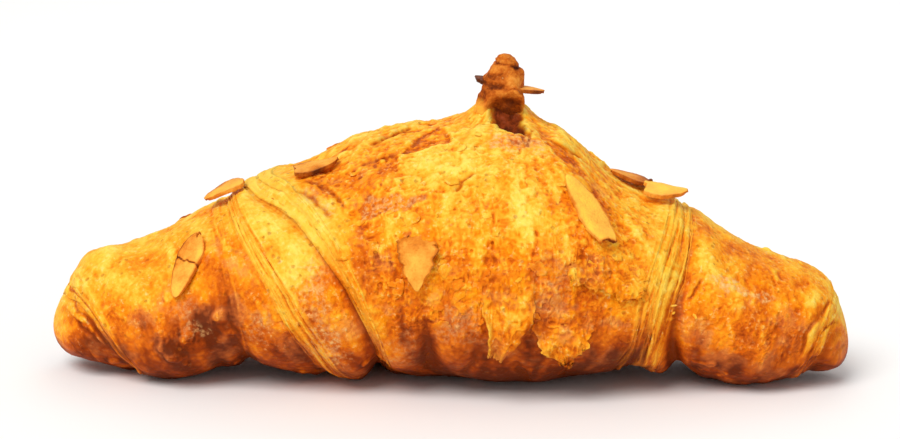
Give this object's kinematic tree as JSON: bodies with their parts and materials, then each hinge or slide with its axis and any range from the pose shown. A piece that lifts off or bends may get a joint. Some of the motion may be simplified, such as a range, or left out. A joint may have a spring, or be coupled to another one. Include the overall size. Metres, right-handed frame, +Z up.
{
  "type": "almond croissant",
  "caption": "Baked almond croissant: rolled flaky dough with a high middle and tapering ends, a tail of toasted almond paste on its ridge and flaked almonds on its crust.",
  "frame": {"origin": "on the surface it rests on, under the middle of its length and depth", "axes": "+X along the roll, towards the end with the straight band of layers, -Y out of the side with the flakes and most slices, +Z up"},
  "size_m": [0.17, 0.078, 0.068],
  "materials": {
    "crust": "egg-glazed baked crust, golden with browned edges",
    "paste": "matte toasted almond paste",
    "almond": "satin toasted almond slice"
  },
  "bodies": {
    "root": {"croissant": "crust", "almond_paste": "paste", "almond_slice_01": "almond", "almond_slice_02": "almond", "almond_slice_03": "almond", "almond_slice_04": "almond", "almond_slice_05": "almond", "almond_slice_06": "almond", "almond_slice_07": "almond", "almond_slice_08": "almond", "almond_slice_09": "almond", "almond_slice_10": "almond", "almond_slice_11": "almond", "almond_slice_12": "almond", "almond_slice_13": "almond"}
  },
  "joints": []
}
